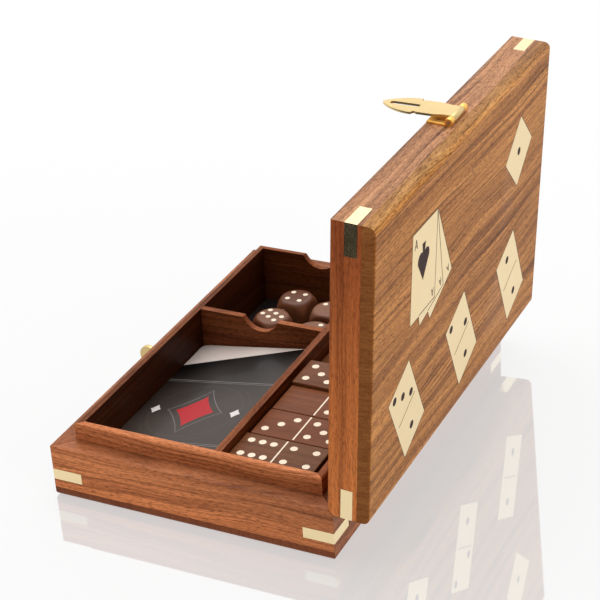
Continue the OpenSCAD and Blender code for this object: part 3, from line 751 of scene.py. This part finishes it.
class GAMESBOX_OT_lining(Operator):
    """Wood of the lining that stands up as a lip, and of the dividers"""

    bl_idname = "gamesbox.lining"
    bl_label = "Lining and dividers"

    def execute(self, context):
        tone = colours().lining_wood
        # Grain's way, cut, place in the log, tint, side painted with shade and strength of that
        # painted shade
        boards = {
            "lip_front": ("X", 70, (5, 14, 60), (0.55, 0.58, 0.6), (0, 1, 0), 0.86),
            "lip_back": ("X", 105, (-31, 8, 22), (0.8, 0.8, 0.8), (0, -1, 0), 0.8),
            "lip_near": ("Y", 75, (66, 3, 17), (1.6, 1.85, 2.2), (-1, 0, 0), 0.9),
            "lip_far": ("Y", 80, (2, 44, -9), (0.85, 0.88, 0.9), (1, 0, 0), 0.7),
            "long_divider": ("X", 80, (18, -7, 31), (0.85, 0.9, 0.95), (0, 1, 0), 0.65),
            "cross_divider": ("Y", 95, (-9, 25, 13), (0.95, 1.0, 1.1), (1, 0, 0), 0.22),
        }
        # Painted shade: the faces inside the wells are multiplied by this near black
        well_shade = (0.2, 0.15, 0.13, 1.0)
        for name, (along, cut, shift, tones, side, shade_strength) in boards.items():
            wood = sheesham(
                "sheesham " + name.replace("_", " "),
                tint(tone, tones),
                along,
                cut,
                shift,
                figure=0.8,
                painted_light_sides=(side, shade_strength, well_shade),
                polish=0.07,
            )
            finish_node(name, wood, sizes().arris)
        return {"FINISHED"}


class GAMESBOX_OT_lid_boards(Operator):
    """Wood of the lid's walls and board"""

    bl_idname = "gamesbox.lid_boards"
    bl_label = "Lid boards"

    def execute(self, context):
        tone, end_tone = colours().lid_wood, colours().end_wood
        # Painted sheen: the lid's front wall, which faces up, and the lid board's upward faces
        # are made greyer and bluer
        front_sheen_tone, back_tone = tint(tone, (0.93, 1.04, 1.75)), shade(tone, 0.9)
        edges = ((0, 0, 1), 0.8, (0.8, 0.95, 1.25, 1.0))
        # Painted floor light low on the lid's near end, fading into painted shade towards its
        # top
        near_floor_light_fade = ((0, 0, 1), 25, 140, (1.45, 1.55, 1.6), (0.7, 0.56, 0.56))
        # Grain's way, cut, place in the log, tone, width of a growth line, painted sheen, and
        # painted floor light with painted shade above it
        boards = {
            "lid_front_wall": ("X", 84, (40, -22, 5), front_sheen_tone, 1.2, None, None),
            "lid_back_wall": ("X", 95, (-5, 19, 44), back_tone, 1.2, None, None),
            "lid_near_end": ("Y", 72, (23, 9, 31), end_tone, 1.5, None, near_floor_light_fade),
            "lid_far_end": ("Y", 100, (-44, 70, 12), end_tone, 2.2, None, None),
            "lid_board": ("X", 14, (3, 37, 21), tone, 1.05, edges, None),
        }
        for name, (along, cut, shift, colour, line, painted_light_sides, floor_light_fade) in boards.items():
            wood = sheesham(
                "sheesham " + name.replace("_", " "),
                colour,
                along,
                cut,
                shift,
                lid=True,
                figure=0.62 if along == "Y" else 1.0,
                line=line,
                painted_light_sides=painted_light_sides,
                polish=0.05 if name == "lid_board" else 0.14,
                floor_light_fade=floor_light_fade,
            )
            finish_node(name, wood, sizes().arris)
        return {"FINISHED"}


class GAMESBOX_OT_velvet(Operator):
    """Velvet on the floors of the wells"""

    bl_idname = "gamesbox.velvet"
    bl_label = "Velvet"

    def execute(self, context):
        finish_node("floor_velvet", velvet_cloth(colours().velvet))
        return {"FINISHED"}


# Brass


class GAMESBOX_OT_keys_and_inlays(Operator):
    """Pale brass keys and inlays, and the dark filler let into them"""

    bl_idname = "gamesbox.keys_and_inlays"
    bl_label = "Keys and inlays"

    def execute(self, context):
        pale = colours().pale_brass
        keys = ground_brass("ground sheet brass keys", shade(pale, 1.33), 0.26, 0.02)
        inlay = ground_brass("ground sheet brass inlays", shade(pale, 1.22), 0.4)
        dull = {"Specular IOR Level": 0.08}
        filler = speckled("dark shellac filler", colours().filler, 0.6, 1.5, 0.2, **dull)
        for name in ("base_corner_keys", "lid_corner_keys"):
            finish_node(name, keys)
        for name in (
            "inlay_cards",
            "inlay_domino_near",
            "inlay_domino_middle",
            "inlay_domino_far",
            "inlay_die",
        ):
            finish_node(name, inlay)
            # A dark rim round each inlay, lifted a hair off it: a painted shadow line
            points, faces = outline_rim(NODES[name], SHADOW_LINE_WIDTH, SHADOW_LINE_LIFT)
            rim = make_piece(name + "_painted_shadow_line", points, faces, filler, smooth=False)
            thick = rim.modifiers.new("thickness", "SOLIDIFY")
            thick.thickness, thick.offset = SHADOW_LINE_DEPTH, -1.0
            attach(rim, "lid")
        finish_node("inlay_fill", filler)
        return {"FINISHED"}


class GAMESBOX_OT_fittings(Operator):
    """Hinges, hasp and turning catch, in buffed brass with bright pins"""

    bl_idname = "gamesbox.fittings"
    bl_label = "Hinges, hasp and catch"

    def execute(self, context):
        gold = colours().gold_brass
        brass = ground_brass("buffed yellow brass", gold, 0.3)
        leaf = ground_brass("rolled sheet brass", linear("#dcc188"), 0.34)
        nails = ground_brass("brass nail heads", shade(gold, 0.85), 0.3)
        plate = ground_brass("stamped yellow brass", shade(gold, 1.3), 0.42)
        steel = {"Base Color": opaque(linear("#b9b6b0")), "Metallic": 1.0, "Roughness": 0.28}
        pin, _, _ = start_material("bright drawn steel", **steel)
        for name in ("base_hinge_leaves", "lid_hinge_leaves", "catch_plate"):
            finish_node(name, brass, 0.12 * MM)
        finish_node("hasp_plate", plate, 0.12 * MM)
        finish_node("hasp_leaf", leaf, 0.2 * MM)
        finish_node("catch_knob", leaf, 0.3 * MM, 3)
        for name in ("base_hinge_nails", "lid_hinge_nails", "hasp_nails", "catch_nails"):
            finish_node(name, nails)
        for name in ("hinge_pins", "hasp_pin"):
            finish_node(name, pin)
        return {"FINISHED"}


# Games


class GAMESBOX_OT_dice(Operator):
    """Five wooden dice with softly rounded corners and flush pips"""

    bl_idname = "gamesbox.dice"
    bl_label = "Dice"

    def execute(self, context):
        cream = speckled("cream resin filler", colours().cream, 0.45, 2.0, 0.06)
        for count in range(1, 6):
            name = f"die_{count}"
            points = read_rows(NODES[name].data.vertices, "co")
            low, high = points.min(0), points.max(0)
            centre = (low + high) / 2
            half = (high[2] - low[2]) / 2
            ball = np.linalg.norm(points - centre, axis=1).max() * DIE_BALL_SHARE
            light = 1.5 + 0.06 * count
            wood = sheesham(
                f"waxed sheesham die {count}",
                tint(colours().dark_wood, (light, light, light * 1.1)),
                "XYZ"[count % 3],
                30 * count,
                (11 * count, 7, -5 * count),
                figure=0.2,
                gloss=0.38,
                polish=0.35,
            )
            shape, faces = ball_die(half, ball, sizes().die_steps)
            pips = NODES[name + "_pips"]
            turn = die_turn(pips, centre, half)
            piece = make_piece(name + "_body", shape @ turn.T + centre, faces, wood)
            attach(piece, name)
            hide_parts(name)
            # The pips' outer ends follow the die's soft shape, a hair above it
            points = (read_rows(pips.data.vertices, "co") - centre) @ turn
            outer = np.abs(points).max(1) > half - 0.1 * MM
            direction = points / np.linalg.norm(points, axis=1, keepdims=True)
            stand = 3 * sizes().inlay_stand
            flush = direction * (die_radius(direction, half, ball) + stand)[:, None]
            points = np.where(outer[:, None], flush, points) @ turn.T + centre
            corner = triangles(pips.data).tolist()
            piece = make_piece(name + "_pip_set", points, corner, cream, smooth=False)
            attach(piece, name)
            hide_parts(name + "_pips")
        return {"FINISHED"}


class GAMESBOX_OT_dominoes(Operator):
    """The dominoes, with softened edges, flush pips and dividing lines"""

    bl_idname = "gamesbox.dominoes"
    bl_label = "Dominoes"

    def execute(self, context):
        edge, stand = sizes().domino_edge, sizes().inlay_stand
        dark = colours().dark_wood
        cream = speckled("cream resin filler of dominoes", colours().cream, 0.45, 2.0, 0.06)
        tones = ((1.4, 1.4, 1.4), (1.6, 1.3, 1.2), (1.65, 1.4, 1.25), (1.5, 1.4, 1.35))
        for count in range(1, 5):
            name = f"domino_{count}"
            low, high = (np.array(corner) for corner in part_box(name))
            wood = sheesham(
                f"waxed sheesham domino {count}",
                tint(dark, tones[count - 1]),
                "Y",
                20 * count,
                (30 * count, 17 * count, 9),
                figure=0.35,
                gloss=0.38,
            )
            high[2] -= stand
            points, faces = rounded_block(low, high, DOMINO_CORNER, edge)
            piece = make_piece(name + "_body", points, faces, wood)
            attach(piece, name)
            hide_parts(name)
            finish_node(name + "_inlay", cream)
        wood = sheesham(
            "waxed sheesham lower dominoes",
            shade(dark, 1.3),
            "Y",
            40,
            (5, 50, 70),
            figure=0.35,
            gloss=0.38,
        )
        all_points, all_faces, offset = [], [], 0
        for low, high in loose_boxes(NODES["lower_dominoes"]):
            high[2] -= stand
            points, faces = rounded_block(low, high, DOMINO_CORNER, edge, 4)
            all_points.append(points)
            all_faces += [[index + offset for index in face] for face in faces]
            offset += len(points)
        points = np.concatenate(all_points)
        piece = make_piece("lower_dominoes_bodies", points, all_faces, wood)
        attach(piece, "domino_stack")
        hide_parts("lower_dominoes")
        finish_node("lower_domino_inlays", cream)
        return {"FINISHED"}


class GAMESBOX_OT_tuck_box(Operator):
    """The cards' tuck box, folded from printed board, and the cards inside"""

    bl_idname = "gamesbox.tuck_box"
    bl_label = "Tuck box and cards"

    def execute(self, context):
        node = NODES["card_tuck_box"]
        tilt = deck_tilt(node)
        c, s = math.cos(tilt), math.sin(tilt)
        turn = np.array([[1, 0, 0], [0, c, -s], [0, s, c]])
        flat = read_rows(node.data.vertices, "co") @ turn
        low, high = flat.min(0), flat.max(0)
        shape, faces = rounded_block(low, high, TUCK_CORNER, sizes().tuck_fold, 6)
        board = tuck_print()
        piece = make_piece("tuck_box_board", shape @ turn.T, faces, board)
        uv = piece.data.uv_layers.new(name="print")
        corner = np.zeros(len(piece.data.loops), int)
        piece.data.loops.foreach_get("vertex_index", corner)
        local = (shape - low)[:, :2] / MM
        uv.data.foreach_set("uv", local[corner].ravel())
        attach(piece, "card_deck")
        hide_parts("card_tuck_box")
        finish_node("playing_cards", speckled("coated card", linear("#efede8"), 0.5, 3.0, 0.03))
        return {"FINISHED"}


def tuck_print():
    """Coated carton, offset printed.

    Charcoal, with a painted reflection that makes it lighter along the box, a slanted pale end,
    hairlines, a large red diamond in a ring and two halos, and a small pale diamond on each side
    of it. The print is drawn in UV millimetres from the box's far front corner: x runs along the
    box and y across it.
    """
    shader = {
        "Roughness": 0.42,
        "Specular IOR Level": 0.2,
        "Coat Weight": 0.1,
        "Coat Roughness": 0.1,
    }
    material, tree, surface = start_material("printed coated carton", **shader)
    uv = add_node(tree, "ShaderNodeUVMap", uv_map="print").outputs[0]
    split = add_node(tree, "ShaderNodeSeparateXYZ", {"Vector": uv})
    x, y = split.outputs[0], split.outputs[1]
    hue = colours()
    middle_x, middle_y = 59.0, 28.0
    hollow = 0.86  # below 1, a diamond's sides curve in

    def away(value, centre):
        """How far a value is from a centre."""
        return number(tree, "ABSOLUTE", number(tree, "SUBTRACT", value, centre))

    def stripe(value, centre, width):
        """1 within half a width of a centre."""
        return number(tree, "LESS_THAN", away(value, centre), width / 2)

    def either(first, second):
        """1 where one of two is."""
        return number(tree, "MAXIMUM", first, second)

    def diamond(cy, across, along):
        """1 where (|x - cx| / along)^hollow + (|y - cy| / across)^hollow is under 1."""
        dx = number(tree, "DIVIDE", away(x, middle_x), along)
        dy = number(tree, "DIVIDE", away(y, cy), across)
        dx, dy = number(tree, "POWER", dx, hollow), number(tree, "POWER", dy, hollow)
        return number(tree, "LESS_THAN", number(tree, "ADD", dx, dy), 1.0)

    slant = number(tree, "MULTIPLY_ADD", y, 0.36, x)
    end = number(tree, "LESS_THAN", slant, 20.0)
    ribs = number(tree, "SINE", number(tree, "MULTIPLY", slant, 7.0))
    lines = either(stripe(x, 33.0, 0.35), stripe(x, 86.0, 0.35))
    lines = either(lines, either(stripe(x, 34.2, 0.25), stripe(x, 84.8, 0.25)))
    red = diamond(middle_y, 9.5, 13.0)
    outer, inner = diamond(middle_y, 14.0, 18.5), diamond(middle_y, 13.4, 17.8)
    ring = number(tree, "SUBTRACT", outer, inner, clamp=True)
    small = either(diamond(8.0, 2.6, 3.6), diamond(48.0, 2.6, 3.6))
    x_square = number(tree, "POWER", number(tree, "SUBTRACT", x, middle_x), 2.0)
    y_square = number(tree, "POWER", number(tree, "SUBTRACT", y, middle_y), 2.0)
    radius = number(tree, "SQRT", number(tree, "ADD", x_square, y_square))
    halo = either(stripe(radius, 21.5, 1.6), stripe(radius, 24.6, 0.7))
    cloud = plain_noise(tree, uv, 0.04, 2.0)
    # Painted reflection: the charcoal field grows lighter along the box and in soft blotches
    reflection_fall = number(tree, "MULTIPLY_ADD", x, 1 / 92, number(tree, "MULTIPLY", y, 1 / 200))
    reflection_fall = number(tree, "MULTIPLY_ADD", cloud, 0.4, reflection_fall)
    dark, light = shade(hue.tuck_field, 0.1), shade(hue.tuck_field, 4.6)
    field = ramp_stops(tree, reflection_fall, [(0.45, dark), (1.0, light)])
    dark, light = shade(hue.tuck_end, 0.86), shade(hue.tuck_end, 1.05)
    pale = ramp_stops(tree, ribs, [(0.0, light), (0.6, dark)])
    faint = number(tree, "MULTIPLY", halo, 0.5)
    colour = mix_colours(tree, "ADD", faint, field, opaque(linear("#1e1c1b")))
    colour = mix_colours(tree, "MIX", lines, colour, opaque(linear("#7d7875")))
    colour = mix_colours(tree, "MIX", ring, colour, opaque(linear("#6f6a68")))
    colour = mix_colours(tree, "MIX", small, colour, opaque(linear("#dcd6d0")))
    colour = mix_colours(tree, "MIX", red, colour, opaque(hue.tuck_suit))
    colour = mix_colours(tree, "MIX", end, colour, pale)
    tree.links.new(colour, surface.inputs["Base Color"])
    return material


# Stage

# The photograph's view, in millimetres and degrees
CAMERA_AT = (626.09, 329.25, 441.94)
CAMERA_YAW, CAMERA_PITCH, CAMERA_ROLL = -152.82, -28.61, -3.60
SENSOR, LENS = 36.0, 110.98

# Half the floor's side and its height, in metres: just below the box's feet
FLOOR_HALF, FLOOR_HEIGHT = 12.0, -0.0002
# The dark card's sides in metres, and how far it lies above the floor
CARD_X, CARD_Y, CARD_HEIGHT = (0.19, 0.9), (-0.7, 0.15), 0.0005


class GAMESBOX_OT_stage(Operator):
    """Floor, light and camera, as in the photograph"""

    bl_idname = "gamesbox.stage"
    bl_label = "Stage"

    def execute(self, context):
        scene = context.scene
        lit_acrylic = {
            "Base Color": (0.15, 0.15, 0.15, 1.0),
            "Roughness": 0.03,
            "IOR": 3.0,
            "Emission Color": (1.0, 1.0, 1.0, 1.0),
            "Emission Strength": 0.53,
        }
        floor_stuff, _, _ = start_material("white acrylic light table", **lit_acrylic)
        span = (-FLOOR_HALF, FLOOR_HALF)
        floor = flat_sheet("floor", span, span, FLOOR_HEIGHT, floor_stuff)
        # A one-sided dark card on the floor, out of the picture, that only the brass of the
        # lid's upper key mirrors
        matt = {
            "Base Color": opaque(linear("#0c0b0a")),
            "Roughness": 0.9,
            "Specular IOR Level": 0.0,
        }
        card_stuff, tree, surface = start_material("matt black card", **matt)
        behind = add_node(tree, "ShaderNodeNewGeometry").outputs["Backfacing"]
        tree.links.new(number(tree, "SUBTRACT", 1.0, behind), surface.inputs["Alpha"])
        card = flat_sheet("dark_card", CARD_X, CARD_Y, CARD_HEIGHT, card_stuff)
        card.visible_camera = card.visible_diffuse = card.visible_shadow = False

        scene.world = studio_tent()
        softbox("top light", (-0.35, -0.25, 1.3), (0.0, 0.0, 0.03), 1.4, 11.5)
        softbox("lid light", (0.45, 1.3, 0.55), (0.0, 0.05, 0.08), 1.0, 10.0, mirrored=False)

        camera_data = bpy.data.cameras.new("camera")
        camera_data.sensor_width, camera_data.lens = SENSOR, LENS
        camera_data.clip_start, camera_data.clip_end = 0.01, 20
        camera = bpy.data.objects.new("camera", camera_data)
        scene.collection.objects.link(camera)
        camera.matrix_world = camera_place(CAMERA_AT, CAMERA_YAW, CAMERA_PITCH, CAMERA_ROLL)
        scene.camera = camera
        scene.view_settings.view_transform = "Standard"
        scene.view_settings.look = "None"
        return {"FINISHED"}


def flat_sheet(name, x_span, y_span, height, material):
    """A level rectangle that faces up."""
    (left, right), (near, far) = x_span, y_span
    corners = [(left, near), (right, near), (right, far), (left, far)]
    points = [(x, y, height) for x, y in corners]
    return make_piece(name, points, [(0, 1, 2, 3)], material, smooth=False)


def studio_tent():
    """A white light tent, brighter behind and above the box than on the camera's side."""
    world = bpy.data.worlds.new("white light tent")
    world.use_nodes = True
    tree = world.node_tree
    tree.nodes.clear()
    way = add_node(tree, "ShaderNodeTexCoord").outputs["Generated"]
    behind = share_along(tree, way, (-0.72, -0.38, 0.58))
    inputs = {"Value": behind, "From Min": -0.5, "From Max": 0.7, "To Min": 0.12, "To Max": 1.1}
    bright = add_node(tree, "ShaderNodeMapRange", inputs).outputs[0]
    glow = add_node(
        tree, "ShaderNodeBackground", {"Color": (1, 1, 1, 1), "Strength": bright}
    )
    add_node(tree, "ShaderNodeOutputWorld", {"Surface": glow.outputs[0]})
    return world


def camera_place(place_mm, yaw, pitch, roll):
    """The camera's matrix from its place in millimetres and its angles in degrees.

    Yaw is its heading about Z, pitch its tilt and roll its turn about its own axis.
    """
    yaw, pitch, roll = (math.radians(v) for v in (yaw, pitch, roll))
    level_share = math.cos(pitch)
    ahead = Vector(
        (math.cos(yaw) * level_share, math.sin(yaw) * level_share, math.sin(pitch))
    )
    level = ahead.cross(Vector((0, 0, 1))).normalized()
    upright = level.cross(ahead)
    right = math.cos(roll) * level + math.sin(roll) * upright
    up = -math.sin(roll) * level + math.cos(roll) * upright
    turn = Matrix((right, up, -ahead)).transposed().to_4x4()
    return Matrix.Translation(Vector(place_mm) * MM) @ turn


def softbox(name, place, target, size, power, mirrored=True):
    """A square area light of a side in metres that faces a target.

    The camera doesn't see it, and glossy surfaces mirror it only where mirrored is true.
    """
    data = bpy.data.lights.new(name, "AREA")
    data.size, data.energy = size, power
    lamp = bpy.data.objects.new(name, data)
    lamp.visible_camera, lamp.visible_glossy = False, mirrored
    bpy.context.scene.collection.objects.link(lamp)
    facing = (Vector(target) - Vector(place)).to_track_quat("-Z", "Y")
    lamp.matrix_world = Matrix.Translation(place) @ facing.to_matrix().to_4x4()


# Panel and registration


class GAMESBOX_PT_panel(Panel):
    """Lists the pieces of the games box"""

    bl_label = "Games box"
    bl_idname = "GAMESBOX_PT_panel"
    bl_space_type = "VIEW_3D"
    bl_region_type = "UI"
    bl_category = "Games box"

    def draw(self, context):
        for step in STEPS:
            self.layout.operator(step.bl_idname, text=step.bl_label)
        for group in (context.scene.games_box_sizes, context.scene.games_box_colours):
            for name in group.bl_rna.properties.keys():
                if name not in ("rna_type", "name"):
                    self.layout.prop(group, name)


STEPS = (
    GAMESBOX_OT_stage,
    GAMESBOX_OT_base_boards,
    GAMESBOX_OT_lining,
    GAMESBOX_OT_lid_boards,
    GAMESBOX_OT_velvet,
    GAMESBOX_OT_keys_and_inlays,
    GAMESBOX_OT_fittings,
    GAMESBOX_OT_tuck_box,
    GAMESBOX_OT_dice,
    GAMESBOX_OT_dominoes,
)
CLASSES = (GamesBoxSizes, GamesBoxColours, *STEPS, GAMESBOX_PT_panel)


def register():
    """Adds the classes to Blender and their settings to its scenes."""
    for each in CLASSES:
        bpy.utils.register_class(each)
    bpy.types.Scene.games_box_sizes = PointerProperty(type=GamesBoxSizes)
    bpy.types.Scene.games_box_colours = PointerProperty(type=GamesBoxColours)


def unregister():
    """Takes the settings and the classes out again."""
    del bpy.types.Scene.games_box_colours
    del bpy.types.Scene.games_box_sizes
    for each in reversed(CLASSES):
        bpy.utils.unregister_class(each)


def main():
    register()
    for step in STEPS:
        group, name = step.bl_idname.split(".")
        getattr(getattr(bpy.ops, group), name)()


if __name__ == "__main__":
    main()
